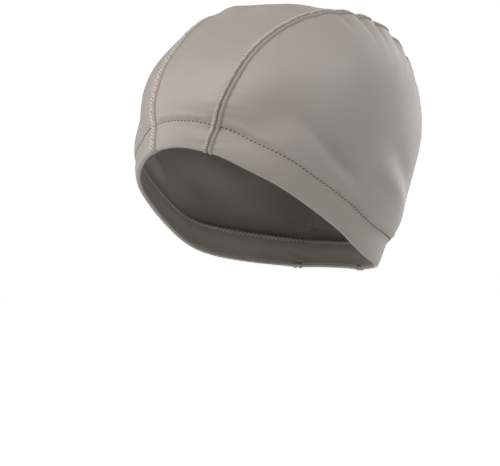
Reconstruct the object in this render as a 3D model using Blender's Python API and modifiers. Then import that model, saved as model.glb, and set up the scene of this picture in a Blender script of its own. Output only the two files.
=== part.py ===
"""Fabric swim cap, modelled in the form that it takes when worn.

Three knitted panels meet at two raised seams that run over the crown, and the
lower edge is turned up inside as a hem. Metres, +Z up, front towards -Y, the
wearer's left towards +X. The origin is the inside of the cap's highest point.
"""
import math
from collections import namedtuple

import bmesh
import bpy
import numpy as np

MM = 0.001

# Driving sizes of the worn cap, to the outside of its cloth
FRONT_REACH = 86.0 * MM       # from the crown's axis to the forehead
BACK_REACH = 99.0 * MM        # from the crown's axis to the back of the head
HALF_WIDTH = 77.5 * MM
CROWN_HEIGHT = 79.0 * MM      # from the widest level up to the crown
LOWER_DEPTH = 100.0 * MM      # from the widest level down, as if the form closed below
RIM_DROP = 156.0 * MM         # from the crown down to the rim at the nape
STRIP_HALF_WIDTH = 43.5 * MM  # centre panel at its widest, behind the crown

# Cloth and seams
CLOTH = 1.0 * MM
HEM_DEPTH = 16.5 * MM
HEM_EDGE = 0.8 * MM           # from the rim up to the turned ply
SEAM_WIDTH = 6.0 * MM
SEAM_HEIGHT = 0.8 * MM
CLEARANCE = 0.3 * MM
BUTT_GAP = 0.4 * MM           # between two panels, under the seam
TURNING_GAP = 0.6 * MM        # between the turned ply and the panels

# Shape of the seams' gathers and of the hem
GATHER_DEPTH = 2.4 * MM
GATHER_SPREAD = 13.0 * MM     # how far a gather reaches into the cloth beside its seam
GATHER_WIDTH = 2.4            # degrees of seam angle from a gather's notch to its edge
RIDGE_HEIGHT = 2.4 * MM
RIDGE_SPREAD = 12.0 * MM
WAIST_DEPTH = 1.1 * MM        # how far the hem's stitches pull the cloth in
WAIST_SPREAD = 5.5 * MM
PUFF_HEIGHT = 0.8 * MM
PUFF_SPREAD = 7.0 * MM

# Mesh
GATHER_ROWS = (-4.4, -2.2, 0.0, 2.2, 4.4)     # degrees of seam angle from a gather's notch
MERGED_ROWS = (0, 0, 2, 2, 2)                 # the row of its gather that each one merges with
PLAIN_ROW_STEP = 7.5          # degrees of seam angle between rows where nothing is gathered
WAIST_LINE = 0.8              # lines along the rim, as shares of the hem's depth
PUFF_LINE = 1.6
HEM_LINES = (0.0, WAIST_LINE / 2, WAIST_LINE, PUFF_LINE)
CENTRE_LINES = (-1.0, -0.78, -0.4, 0.0, 0.4, 0.78, 1.0)   # lines along the centre panel
GATHER_LINES = (0.75, 1.45, 2.2)   # lines beside a seam, as shares of the gathers' spread
SIDE_MIDDLE_COLUMNS = 6
PATCH_LENGTH = 130.0 * MM     # from the last line beside the seam to the rim over the ear
FRONT_CORNER = 52.0           # azimuths where a side panel's rows stop following the rim
BACK_CORNER = 126.0
RING_SIDES = 72
RING_LINES = (0.0, 0.38, 0.79, 1.0)
NORMAL_STEP = 0.004           # half the step, on a unit direction, that slopes are taken over
MERGE_DISTANCE = 0.05 * MM
HALVINGS = 40                 # of a range that holds the rim
RIM_ELEVATIONS = (-80.0, 40.0)
FRONT_SEAM_ANGLES = (-40.0, 60.0)
NAPE_SEAM_ANGLES = (180.0, 260.0)
LEAN_STEPS = 12               # for a seam's lean to settle on its distance from the middle

# Form, as shares of an ellipsoid by the reaches above; lean is a share of the back reach
Section = namedtuple("Section", "elevation front side back lean")
SECTIONS = (
    Section(-75, 0.98, 1.16, 0.98, 0.000),
    Section(-60, 0.98, 1.13, 0.97, 0.000),
    Section(-45, 0.98, 1.05, 0.92, 0.000),
    Section(-30, 1.00, 1.00, 0.93, 0.000),
    Section(-15, 1.02, 0.98, 0.94, 0.000),
    Section(0, 1.00, 1.00, 0.99, 0.000),
    Section(15, 1.00, 1.025, 1.01, 0.015),
    Section(30, 1.00, 1.06, 1.03, 0.025),
    Section(45, 0.995, 1.06, 1.03, 0.038),
    Section(60, 1.00, 1.03, 1.01, 0.035),
    Section(75, 1.00, 1.01, 1.00, 0.005),
    Section(90, 1.00, 1.00, 1.00, 0.000),
)

# Height of the rim: place is a share of the front or back reach, drop one of the rim's drop
RimPoint = namedtuple("RimPoint", "place drop")
RIM = (
    RimPoint(-1.02, 0.528),
    RimPoint(-0.98, 0.543),
    RimPoint(-0.855, 0.609),
    RimPoint(-0.74, 0.656),
    RimPoint(-0.59, 0.713),
    RimPoint(-0.42, 0.774),
    RimPoint(-0.23, 0.841),
    RimPoint(-0.09, 0.892),
    RimPoint(0.08, 0.940),
    RimPoint(0.30, 0.976),
    RimPoint(0.60, 1.000),
)

# Seams: half width is a share of the strip's widest, ridge one of the ridge's height
SeamPoint = namedtuple("SeamPoint", "angle half_width ridge")
SEAM = (
    SeamPoint(-20, 0.41, 0.0),
    SeamPoint(0, 0.49, 0.0),
    SeamPoint(15, 0.59, 0.0),
    SeamPoint(30, 0.66, 0.0),
    SeamPoint(45, 0.70, 0.10),
    SeamPoint(60, 0.775, 0.45),
    SeamPoint(80, 0.885, 1.10),
    SeamPoint(100, 0.935, 1.30),
    SeamPoint(120, 0.98, 1.35),
    SeamPoint(135, 1.0, 1.25),
    SeamPoint(158, 0.95, 0.85),
    SeamPoint(180, 0.83, 0.6),
    SeamPoint(200, 0.71, 0.3),
    SeamPoint(215, 0.63, 0.2),
    SeamPoint(240, 0.55, 0.2),
)

# Gathers: notches across each seam, from the front to the nape; depth is a share of their depth
Gather = namedtuple("Gather", "angle depth")
GATHERS = (
    Gather(66, 0.25),
    Gather(80, 0.35),
    Gather(94, 0.45),
    Gather(107, 0.85),
    Gather(118, 1.0),
    Gather(130, 1.0),
    Gather(141, 0.9),
    Gather(151, 0.6),
    Gather(162, 0.4),
    Gather(174, 0.3),
)

# Dents and bulges on each side: angles in degrees, height a share of the half width
Dent = namedtuple("Dent", "name azimuth elevation along across turn height")
DENTS = (
    Dent("crown shoulder", 52, 72, 12, 6, 0, 0.028),
    Dent("temple hollow", 33, 6, 20, 9, 0, -0.036),
    Dent("brow bulge", 50, -13, 15, 11, 0, 0.019),
    Dent("diagonal fold", 68, -7, 16, 5, -42, -0.038),
    Dent("behind the ear crest", 112, -12, 15, 6, -28, -0.034),
    Dent("ear bulge", 106, -27, 16, 12, 0, 0.052),
    Dent("ear crest", 104, -19, 13, 4.5, -28, 0.022),
    Dent("cheek puff", 80, -25, 18, 9, -35, 0.019),
)

CLOTH_COLOUR = (0.37, 0.33, 0.30, 1.0)
HEM_COLOUR = (0.40, 0.37, 0.33, 1.0)
SEAM_COLOUR = (0.47, 0.43, 0.38, 1.0)
CLOTH_ROUGHNESS = 0.5
SEAM_ROUGHNESS = 0.6


def along_table(table, column, place):
    """Value of a column at a place, on a smooth curve through the table's rows."""
    at = np.array([row[0] for row in table], float)
    value = np.array([getattr(row, column) for row in table], float)
    slope = np.zeros_like(value)
    step = np.diff(value) / np.diff(at)
    slope[1:-1] = (step[:-1] + step[1:]) / 2
    place = np.clip(place, at[0], at[-1])
    low = np.clip(np.searchsorted(at, place, side="right") - 1, 0, len(at) - 2)
    span = at[low + 1] - at[low]
    t = (place - at[low]) / span
    rise = value[low + 1] - value[low]
    bend_in = span * slope[low] - rise
    bend_out = rise - span * slope[low + 1]
    return value[low] + t * rise + t * (1 - t) * (bend_in * (1 - t) + bend_out * t)


def from_angles(azimuth, elevation):
    """Unit directions; azimuth runs from the front to the wearer's left."""
    turn = np.radians(azimuth)
    lift = np.radians(elevation)
    flat = np.cos(lift)
    return np.stack([np.sin(turn) * flat, -np.cos(turn) * flat, np.sin(lift)], axis=-1)


def azimuth_of(direction):
    """Azimuth on the wearer's left, which the right side mirrors."""
    return np.degrees(np.arctan2(np.abs(direction[..., 0]), -direction[..., 1]))


def elevation_of(direction):
    return np.degrees(np.arcsin(np.clip(direction[..., 2], -1, 1)))


def seam_angle_of(direction):
    """Angle about the X axis, from the front over the crown to the nape."""
    angle = np.degrees(np.arctan2(direction[..., 2], -direction[..., 1]))
    return np.where(angle < -90, angle + 360, angle)


def smooth_reach(direction):
    """Distance from the form's centre to the cloth, without gathers and hem."""
    azimuth = azimuth_of(direction)
    elevation = elevation_of(direction)
    level = np.cos(np.radians(elevation))
    height = np.where(direction[..., 2] >= 0, CROWN_HEIGHT, LOWER_DEPTH)

    def of_ellipsoid(size, column):
        share = along_table(SECTIONS, column, elevation)
        return share / np.hypot(level / size, direction[..., 2] / height)

    front = of_ellipsoid(FRONT_REACH, "front")
    side = of_ellipsoid(HALF_WIDTH, "side")
    back = of_ellipsoid(BACK_REACH, "back")
    ahead = np.cos(np.radians(azimuth))
    lengthwise = np.where(ahead > 0, front, back)
    reach = 1 / np.hypot(ahead / lengthwise, np.sin(np.radians(azimuth)) / side)
    reach = reach - BACK_REACH * along_table(SECTIONS, "lean", elevation) * ahead
    for dent in DENTS:
        turn = math.radians(dent.turn)
        right = (azimuth - dent.azimuth) * level
        up = elevation - dent.elevation
        along = (right * math.cos(turn) + up * math.sin(turn)) / dent.along
        across = (up * math.cos(turn) - right * math.sin(turn)) / dent.across
        reach = reach + HALF_WIDTH * dent.height * np.exp(-(along**2 + across**2))
    return reach


def find_rim():
    """Elevation of the rim at every degree of azimuth, halving the range that holds it."""
    azimuth = np.arange(0.0, 181.0)
    low = np.full(azimuth.shape, RIM_ELEVATIONS[0])
    high = np.full(azimuth.shape, RIM_ELEVATIONS[1])
    for _ in range(HALVINGS):
        middle = (low + high) / 2
        direction = from_angles(azimuth, middle)
        point = direction * smooth_reach(direction)[..., None]
        place = point[..., 1] / np.where(point[..., 1] < 0, FRONT_REACH, BACK_REACH)
        drop = RIM_DROP * along_table(RIM, "drop", place) - CROWN_HEIGHT
        above = point[..., 2] > -drop
        high = np.where(above, middle, high)
        low = np.where(above, low, middle)
    return azimuth, (low + high) / 2


RIM_AZIMUTH, RIM_ELEVATION = find_rim()
RIM_SLANT = np.cos(np.arctan(np.gradient(RIM_ELEVATION, RIM_AZIMUTH)))


def rim_direction(azimuth):
    """Direction of the rim at signed azimuths, negative on the wearer's right."""
    elevation = np.interp(np.abs(azimuth), RIM_AZIMUTH, RIM_ELEVATION)
    return from_angles(azimuth, elevation)


def above_rim(direction, reach):
    """Distance over the cloth from the rim, square to it."""
    azimuth = azimuth_of(direction)
    lift = elevation_of(direction) - np.interp(azimuth, RIM_AZIMUTH, RIM_ELEVATION)
    return np.radians(lift) * reach * np.interp(azimuth, RIM_AZIMUTH, RIM_SLANT)


def notches(angle):
    """Depth of the gathers at a seam angle, as a share of the deepest."""
    return sum(g.depth * np.exp(-((angle - g.angle) / GATHER_WIDTH)**2) for g in GATHERS)


def cap_reach(direction):
    """Distance from the form's centre to the outside of the cloth, with all its relief."""
    reach = smooth_reach(direction)
    angle = seam_angle_of(direction)
    half_width = STRIP_HALF_WIDTH * along_table(SEAM, "half_width", angle)
    off = np.abs(direction[..., 0]) * reach - half_width
    ridge = RIDGE_HEIGHT * along_table(SEAM, "ridge", angle) * np.exp(-(off / RIDGE_SPREAD)**2)
    notch = GATHER_DEPTH * notches(angle) * np.exp(-(off / GATHER_SPREAD)**2)
    up = above_rim(direction, reach)
    waist = WAIST_DEPTH * np.exp(-((up - HEM_DEPTH * WAIST_LINE) / WAIST_SPREAD)**2)
    puff = PUFF_HEIGHT * np.exp(-((up - HEM_DEPTH * PUFF_LINE) / PUFF_SPREAD)**2)
    return reach + ridge - notch - waist + puff


def cap_point(direction):
    """Point on the outside of the cloth, measured from the origin inside the crown."""
    direction = direction / np.linalg.norm(direction, axis=-1, keepdims=True)
    centre = np.array([0.0, 0.0, CLOTH - CROWN_HEIGHT])
    return centre + direction * cap_reach(direction)[..., None]


def cap_normal(direction):
    """Outward normal of the cloth, from the slopes across a small step."""
    upright = np.array([0.0, 0.0, 1.0])
    sideways = np.array([1.0, 0.0, 0.0])
    guide = np.where(np.abs(direction[..., 2:3]) > 0.9, sideways, upright)
    first = np.cross(guide, direction)
    first = first / np.linalg.norm(first, axis=-1, keepdims=True)
    second = np.cross(direction, first)
    slope_one = cap_point(direction + NORMAL_STEP * first) - cap_point(direction - NORMAL_STEP * first)
    slope_two = cap_point(direction + NORMAL_STEP * second) - cap_point(direction - NORMAL_STEP * second)
    normal = np.cross(slope_one, slope_two)
    return normal / np.linalg.norm(normal, axis=-1, keepdims=True)


def strip_direction(angle, share, offset=0.0):
    """Direction at a seam angle, a share of the way from the middle to the left seam."""
    angle = np.asarray(angle, float)
    middle = np.stack([0 * angle, -np.cos(np.radians(angle)), np.sin(np.radians(angle))], axis=-1)
    sideways = np.array([1.0, 0.0, 0.0])
    across = share * STRIP_HALF_WIDTH * along_table(SEAM, "half_width", angle)
    reach = cap_reach(middle)
    for _ in range(LEAN_STEPS):
        lean = np.arcsin(np.clip(across / reach, -1, 1))
        direction = middle * np.cos(lean)[..., None] + sideways * np.sin(lean)[..., None]
        reach = cap_reach(direction)
    lean = lean + offset / reach
    return middle * np.cos(lean)[..., None] + sideways * np.sin(lean)[..., None]


def meets_rim(share, offset, back):
    """Seam angle where lines at these shares and offsets meet the rim."""
    first, last = NAPE_SEAM_ANGLES if back else FRONT_SEAM_ANGLES
    low = np.full(share.shape, first)
    high = np.full(share.shape, last)
    for _ in range(HALVINGS):
        angle = (low + high) / 2
        direction = strip_direction(angle, share, offset)
        above = above_rim(direction, cap_reach(direction)) > 0
        low = np.where(above == back, angle, low)
        high = np.where(above == back, high, angle)
    return angle


def strip_lines(share, offset, rows):
    """Directions of lines that run along the strip from rim to rim, one for each share."""
    start = meets_rim(share, offset, back=False)
    end = meets_rim(share, offset, back=True)
    angle = start + rows[:, None] * (end - start)
    return strip_direction(angle, share, offset)


def row_places():
    """Places of the rows from rim to rim, close together at the gathers, and the rows to merge.

    The second list names the row that each one merges with where a panel is too far from
    its seam to be gathered.
    """
    start = meets_rim(np.ones(1), np.zeros(1), back=False)[0]
    end = meets_rim(np.ones(1), np.zeros(1), back=True)[0]
    hem = np.degrees(HEM_DEPTH * np.array(HEM_LINES) / FRONT_REACH)
    gathered = np.concatenate([gather.angle + np.array(GATHER_ROWS) for gather in GATHERS])
    front_rows = math.ceil((gathered[0] - start - hem[-1]) / PLAIN_ROW_STEP)
    nape_rows = math.ceil((end - hem[-1] - gathered[-1]) / PLAIN_ROW_STEP)
    angle = np.concatenate([
        start + hem[:-1],
        np.linspace(start + hem[-1], gathered[0], front_rows, endpoint=False),
        gathered,
        np.linspace(end - hem[-1], gathered[-1], nape_rows, endpoint=False)[::-1],
        end - hem[-2::-1],
    ])
    merged = np.arange(len(angle))
    first = len(hem) - 1 + front_rows
    for gather in range(len(GATHERS)):
        row = first + gather * len(GATHER_ROWS)
        merged[row:row + len(GATHER_ROWS)] = row + np.array(MERGED_ROWS)
    return (angle - start) / (end - start), merged


def patch(near, far, first, last, across, along):
    """Directions over a patch with four given edges: near and far run along its rows' ends."""
    across = across[None, :, None]
    along = along[:, None, None]
    sides = (1 - across) * near[:, None] + across * far[:, None]
    ends = (1 - along) * first[None] + along * last[None]
    corners = ((1 - along) * ((1 - across) * near[0] + across * far[0])
               + along * ((1 - across) * near[-1] + across * far[-1]))
    inside = sides + ends - corners
    return inside / np.linalg.norm(inside, axis=-1, keepdims=True)


def add_sheet(name, points, collection, colour, roughness, thickness, outward=False):
    """Named object: a grid moved to the points, with a wall grown on its inside or outside."""
    rows, columns = points.shape[:2]
    mesh = bpy.data.meshes.new(name)
    shape = bmesh.new()
    bmesh.ops.create_grid(shape, x_segments=columns - 1, y_segments=rows - 1, size=1.0)
    for vertex in shape.verts:
        column = round((vertex.co.x + 1) / 2 * (columns - 1))
        row = round((vertex.co.y + 1) / 2 * (rows - 1))
        vertex.co = points[row, column]
    bmesh.ops.remove_doubles(shape, verts=shape.verts, dist=MERGE_DISTANCE)
    bmesh.ops.triangulate(shape, faces=shape.faces, quad_method="SHORT_EDGE")
    shape.to_mesh(mesh)
    shape.free()
    mesh.shade_smooth()
    thing = bpy.data.objects.new(name, mesh)
    collection.objects.link(thing)
    wall = thing.modifiers.new("Cloth", "SOLIDIFY")
    wall.thickness = thickness
    wall.offset = 1.0 if outward else -1.0
    material = bpy.data.materials.new(name)
    material.use_nodes = True
    finish = material.node_tree.nodes["Principled BSDF"]
    finish.inputs["Base Color"].default_value = colour
    finish.inputs["Roughness"].default_value = roughness
    finish.inputs["Metallic"].default_value = 0.0
    material.diffuse_color = colour
    mesh.materials.append(material)
    return thing


def mirrored(points):
    """The same grid on the wearer's right, its rows turned round to keep its faces outward."""
    return points[:, ::-1] * np.array([-1.0, 1.0, 1.0])


def make_centre_panel(collection, rows):
    share = np.array(CENTRE_LINES)
    offset = np.zeros(share.shape)
    offset[0] = BUTT_GAP / 2
    offset[-1] = -BUTT_GAP / 2
    points = cap_point(strip_lines(share, offset, rows))
    add_sheet("centre_panel", points, collection, CLOTH_COLOUR, CLOTH_ROUGHNESS, CLOTH)


def make_side_panels(collection, rows, merged):
    """Lines beside the seam, then a patch whose other three edges lie on the rim."""
    offset = np.array([BUTT_GAP / 2, SEAM_WIDTH / 2, *GATHER_SPREAD * np.array(GATHER_LINES)])
    beside_seam = strip_lines(np.ones(offset.shape), offset, rows)
    near = beside_seam[:, -1]
    front, back = azimuth_of(near[0]), azimuth_of(near[-1])
    rim_room = HEM_DEPTH * np.array(HEM_LINES[::-1]) / PATCH_LENGTH
    middle = np.linspace(0.0, 1 - rim_room[0], SIDE_MIDDLE_COLUMNS + 1)
    across = np.concatenate([middle[:-1], 1 - rim_room])
    far = rim_direction(FRONT_CORNER + rows * (BACK_CORNER - FRONT_CORNER))
    first = rim_direction(front + across * (FRONT_CORNER - front))
    last = rim_direction(back + across * (BACK_CORNER - back))
    rest = patch(near, far, first, last, across, rows)
    points = cap_point(np.concatenate([beside_seam[:, :-1], rest[merged]], axis=1))
    for name, side in (("side_panel_left", points), ("side_panel_right", mirrored(points))):
        add_sheet(name, side, collection, CLOTH_COLOUR, CLOTH_ROUGHNESS, CLOTH)


def make_seams(collection, rows):
    offset = np.array([-SEAM_WIDTH / 2, 0.0, SEAM_WIDTH / 2])
    direction = strip_lines(np.ones(offset.shape), offset, rows)
    points = cap_point(direction) + CLEARANCE * cap_normal(direction)
    for name, side in (("seam_left", points), ("seam_right", mirrored(points))):
        add_sheet(name, side, collection, SEAM_COLOUR, SEAM_ROUGHNESS, SEAM_HEIGHT, outward=True)


def make_hem_turning(collection):
    """Closed ring: a round wall whose rows follow the rim, a clearance inside the panels."""
    azimuth = np.linspace(-180.0, 180.0, RING_SIDES + 1)
    foot = rim_direction(azimuth)
    slant = np.interp(np.abs(azimuth), RIM_AZIMUTH, RIM_SLANT)
    rows = []
    for share in RING_LINES:
        height = HEM_EDGE + share * (HEM_DEPTH - HEM_EDGE)
        lift = np.degrees(height / (smooth_reach(foot) * slant))
        direction = from_angles(azimuth, elevation_of(foot) + lift)
        rows.append(cap_point(direction) - (CLOTH + TURNING_GAP) * cap_normal(direction))
    add_sheet("hem_turning", np.stack(rows), collection, HEM_COLOUR, CLOTH_ROUGHNESS, CLOTH)


def main():
    for thing in list(bpy.data.objects):
        bpy.data.objects.remove(thing, do_unlink=True)
    collection = bpy.data.collections.new("swim_cap")
    bpy.context.scene.collection.children.link(collection)
    rows, merged = row_places()
    make_centre_panel(collection, rows)
    make_side_panels(collection, rows, merged)
    make_seams(collection, rows)
    make_hem_turning(collection)


main()
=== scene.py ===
"""Looks of a fabric swim cap in its worn form: cloth, seams, stitches, camera and light.

The form's tables and functions are those of the part's source, with finer relief added.
Metres, +Z up, front towards -Y, the wearer's left towards +X. Azimuth runs from the front to the
wearer's left, and seam angles from the front over the crown to the nape, both in degrees.
"""
import math
from collections import namedtuple

import bpy
import numpy as np
from mathutils import Matrix, Vector


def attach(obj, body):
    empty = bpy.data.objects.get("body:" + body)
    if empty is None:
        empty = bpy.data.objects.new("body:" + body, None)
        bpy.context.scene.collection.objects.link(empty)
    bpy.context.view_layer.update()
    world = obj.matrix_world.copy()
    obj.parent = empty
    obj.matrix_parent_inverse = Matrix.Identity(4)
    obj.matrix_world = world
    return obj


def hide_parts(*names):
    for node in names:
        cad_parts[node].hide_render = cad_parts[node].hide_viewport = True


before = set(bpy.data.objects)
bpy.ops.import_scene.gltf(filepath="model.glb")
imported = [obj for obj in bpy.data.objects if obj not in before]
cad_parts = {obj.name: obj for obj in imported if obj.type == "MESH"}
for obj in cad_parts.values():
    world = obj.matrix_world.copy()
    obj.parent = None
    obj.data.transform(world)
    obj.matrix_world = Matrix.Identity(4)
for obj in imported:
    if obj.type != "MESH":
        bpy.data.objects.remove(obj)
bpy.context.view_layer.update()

MM = 0.001

# Sizes, as in the part's source
FRONT_REACH = 86.0 * MM
BACK_REACH = 99.0 * MM
HALF_WIDTH = 77.5 * MM
CROWN_HEIGHT = 79.0 * MM
LOWER_DEPTH = 100.0 * MM
RIM_DROP = 156.0 * MM
STRIP_HALF_WIDTH = 43.5 * MM
CLOTH = 1.0 * MM
HEM_DEPTH = 16.5 * MM
SEAM_WIDTH = 6.0 * MM
GATHER_DEPTH = 2.4 * MM
GATHER_SPREAD = 13.0 * MM
RIDGE_HEIGHT = 2.4 * MM
RIDGE_SPREAD = 12.0 * MM
WAIST_DEPTH = 1.1 * MM
WAIST_SPREAD = 5.5 * MM
WAIST_LINE = 0.8
PUFF_HEIGHT = 0.8 * MM
PUFF_SPREAD = 7.0 * MM
PUFF_LINE = 1.6

# Searches, as in the part's source
NORMAL_STEP = 0.004
NEAR_UPRIGHT = 0.9            # a direction this close to the Z axis takes X as its guide
HALVINGS = 40
RIM_ELEVATIONS = (-80.0, 40.0)
FRONT_SEAM_ANGLES = (-40.0, 60.0)
NAPE_SEAM_ANGLES = (180.0, 260.0)
LEAN_STEPS = 12

# Form as shares of the sizes above: the front, side and back reach at each elevation, and how
# far the section leans forward
Section = namedtuple("Section", "elevation front side back lean")
SECTIONS = (
    Section(-75, 0.98, 1.16, 0.98, 0.000),
    Section(-60, 0.98, 1.13, 0.97, 0.000),
    Section(-45, 0.98, 1.05, 0.92, 0.000),
    Section(-30, 1.00, 1.00, 0.93, 0.000),
    Section(-15, 1.02, 0.98, 0.94, 0.000),
    Section(0, 1.00, 1.00, 0.99, 0.000),
    Section(15, 1.00, 1.025, 1.01, 0.015),
    Section(30, 1.00, 1.06, 1.03, 0.025),
    Section(45, 0.995, 1.06, 1.03, 0.038),
    Section(60, 1.00, 1.03, 1.01, 0.035),
    Section(75, 1.00, 1.01, 1.00, 0.005),
    Section(90, 1.00, 1.00, 1.00, 0.000),
)

# Drop of the rim below the crown, from the front (-1) to the back (1)
RimPoint = namedtuple("RimPoint", "place drop")
RIM = (
    RimPoint(-1.02, 0.528),
    RimPoint(-0.98, 0.543),
    RimPoint(-0.855, 0.609),
    RimPoint(-0.74, 0.656),
    RimPoint(-0.59, 0.713),
    RimPoint(-0.42, 0.774),
    RimPoint(-0.23, 0.841),
    RimPoint(-0.09, 0.892),
    RimPoint(0.08, 0.940),
    RimPoint(0.30, 0.976),
    RimPoint(0.60, 1.000),
)

# Width of the centre strip and height of the ridge under the seams
SeamPoint = namedtuple("SeamPoint", "angle half_width ridge")
SEAM = (
    SeamPoint(-20, 0.41, 0.0),
    SeamPoint(0, 0.49, 0.0),
    SeamPoint(15, 0.59, 0.0),
    SeamPoint(30, 0.66, 0.0),
    SeamPoint(45, 0.70, 0.10),
    SeamPoint(60, 0.775, 0.45),
    SeamPoint(80, 0.885, 1.10),
    SeamPoint(100, 0.935, 1.30),
    SeamPoint(120, 0.98, 1.35),
    SeamPoint(135, 1.0, 1.25),
    SeamPoint(158, 0.95, 0.85),
    SeamPoint(180, 0.83, 0.6),
    SeamPoint(200, 0.71, 0.3),
    SeamPoint(215, 0.63, 0.2),
    SeamPoint(240, 0.55, 0.2),
)

# Gathers along the seams
Gather = namedtuple("Gather", "angle depth")
GATHERS = (
    Gather(66, 0.25),
    Gather(80, 0.35),
    Gather(94, 0.45),
    Gather(107, 0.85),
    Gather(118, 1.0),
    Gather(130, 1.0),
    Gather(141, 0.9),
    Gather(151, 0.6),
    Gather(162, 0.4),
    Gather(174, 0.3),
)

# Soft dents and bulges: place, spread along and across in degrees, turn, and height in shares
# of the half width
Dent = namedtuple("Dent", "name azimuth elevation along across turn height")
DENTS = (
    Dent("crown shoulder", 52, 72, 12, 6, 0, 0.028),
    Dent("temple hollow", 33, 6, 20, 9, 0, -0.036),
    Dent("brow bulge", 50, -13, 15, 11, 0, 0.019),
    Dent("diagonal fold", 68, -7, 16, 5, -42, -0.038),
    Dent("behind the ear crest", 112, -12, 15, 6, -28, -0.034),
    Dent("ear bulge", 106, -27, 16, 12, 0, 0.052),
    Dent("ear crest", 104, -19, 13, 4.5, -28, 0.022),
    Dent("cheek puff", 80, -25, 18, 9, -35, 0.019),
)

# Creases that only this script draws
CREASES = (
    Dent("fold crease", 69, -9.3, 13, 2.7, -42, -0.025),
    Dent("fold lip", 70, -4.0, 14, 3.2, -42, 0.012),
    Dent("lit slope behind the crest", 107.5, -12.5, 10, 4.2, -28, 0.011),
    Dent("seam hollow", 37, 7, 11, 8, 35, -0.016),
    Dent("ear face", 103, -31, 13, 8, -25, -0.010),
)

# Height above the rim of the row of stitches that holds the hem
HemPoint = namedtuple("HemPoint", "azimuth height")
HEM_LINE = (
    HemPoint(0, 15.5 * MM),
    HemPoint(30, 15.6 * MM),
    HemPoint(60, 16.3 * MM),
    HemPoint(90, 17.0 * MM),
    HemPoint(110, 17.2 * MM),
    HemPoint(140, 16.9 * MM),
    HemPoint(180, 16.5 * MM),
)
HEM_OVERLAP = 1.1 * MM        # of the turned ply beyond its stitches

# Finer relief of the cloth
GATHER_STEEP = 1.3            # degrees from a gather's edge down to its notch
GATHER_EASY = 3.6             # degrees from the notch back up to the next plateau
GATHER_ONSET = (70.0, 108.0)  # seam angles between which the gathers sharpen
GATHER_FAINT = 0.35           # share of the depth that the first gathers keep
RIPPLE_HEIGHT = 0.16 * MM     # small uneven gathers beside the seams
RIPPLE_SPREAD = 6.0 * MM
RIPPLE_DRIFT = 0.21           # radians for each degree of seam angle
GROOVE_DEPTH = 0.34 * MM      # where the hem's stitches sink in
GROOVE_SPREAD = 0.9 * MM
BRIDGE_SPREAD = 4.5 * MM      # the hem's relief fades out this close to the middle of a seam
ROLL_HEIGHT = 0.65 * MM       # soft roll of cloth just above the hem's stitches
ROLL_OFFSET = 2.6 * MM
ROLL_SPREAD = 1.7 * MM
PUCKER_HEIGHT = 0.15 * MM     # small waves between the hem's stitches
PUCKER_OFFSET = 1.0 * MM
PUCKER_SPREAD = 2.2 * MM

# Waves of the small gathers: share of the height, radians for each degree, start, and drift
Ripple = namedtuple("Ripple", "share rate start drift")
RIPPLES = (
    Ripple(1.0, 1.31, 0.0, 0.0),
    Ripple(0.7, 2.17, 1.3, 0.0),
    Ripple(0.5, 3.3, 0.4, 0.8),
)

# Slow change along the hem
Swell = namedtuple("Swell", "mean swing length start")
ROLL_SWELL = Swell(0.75, 0.35, 23 * MM, 1.0)
PUCKER_SWELL = Swell(0.6, 0.4, 9.1 * MM, 0.7)

# Cloth as it is drawn
PLY = 0.9 * MM
TURN_RADIUS = 1.3 * MM        # of the fold along the rim
TURN_STEPS = 7
BUTT_GAP = 0.1 * MM           # between the panels, under the seam's band
MERGE_DISTANCE = 0.002 * MM

# Meshes
SEAM_ROWS = 380
CENTRE_COLUMNS = 76
FINE_SEAM_COLUMNS = 16
MIDDLE_COLUMNS = 58
FINE_HEM_COLUMNS = 28
FINE_SEAM_SHARE = 0.09        # of the way from the seam to the rim
FINE_HEM_SHARE = 0.17
RING_SIDES = 540
RING_ROWS = 18
SEAM_LINE_STEPS = 2 * SEAM_ROWS
HEM_LINE_STEPS = 1440

# Section of a seam's band: place in half widths towards the side panel, height in millimetres
BandPoint = namedtuple("BandPoint", "across height")
BAND = (
    BandPoint(-1.00, 0.12),
    BandPoint(-0.93, 0.45),
    BandPoint(-0.78, 0.72),
    BandPoint(-0.55, 0.86),
    BandPoint(-0.30, 0.76),
    BandPoint(-0.14, 0.42),
    BandPoint(-0.05, 0.14),
    BandPoint(0.05, 0.14),
    BandPoint(0.14, 0.42),
    BandPoint(0.30, 0.72),
    BandPoint(0.55, 0.80),
    BandPoint(0.78, 0.66),
    BandPoint(0.93, 0.40),
    BandPoint(1.00, 0.12),
)
BAND_FLOOR = 0.04 * MM
# Shade is painted into the groove of each seam's band: the band's colour darkens over this share
# of its half width, down to the share of its colour below
GROOVE_PAINTED_SHADE_SHARE = 0.17           # of the band's half width
GROOVE_PAINTED_SHADE = 0.42           # of the band's colour, down in the groove

# One stitch as it is modelled
STITCH_SIDES = 6
STITCH_BODY = 0.62            # share of its length that is straight
STITCH_TIP = 0.45             # size of its ends
STITCH_DIP = 1.3              # radii that its ends go down
END_FACING = 0.9              # an end face looks along X at least this much

# Rows of seam stitches: middle in half widths towards the side panel, pitch, thread radius, span
# of one stitch and its slant in degrees, and which of the two threads it is sewn with
ThreadRow = namedtuple("ThreadRow", "across pitch radius span slant thread")
LEFT_THREADS = (
    ThreadRow(-0.56, 1.3 * MM, 0.24 * MM, 2.1 * MM, 24.0, 0),
    ThreadRow(0.56, 1.3 * MM, 0.22 * MM, 2.1 * MM, -10.0, 1),
)
RIGHT_THREADS = (
    ThreadRow(0.14, 2.1 * MM, 0.46 * MM, 5.4 * MM, 40.0, 0),
)
THREAD_LIFT = 0.80 * MM

# Stitches of the hem, and the threads inside over its raw edge
HEM_PITCH = 2.6 * MM
HEM_THREAD = 0.28 * MM        # radius
HEM_STITCH = 1.8 * MM         # length that shows
HEM_SLANT = 24.0
HEM_LIFT = 0.10 * MM
COVER_PITCH = HEM_PITCH / 2
COVER_THREAD = 0.24 * MM
COVER_STITCH = 3.4 * MM
COVER_SLANTS = (62.0, 118.0)
COVER_LIFT = 0.10 * MM

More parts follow.
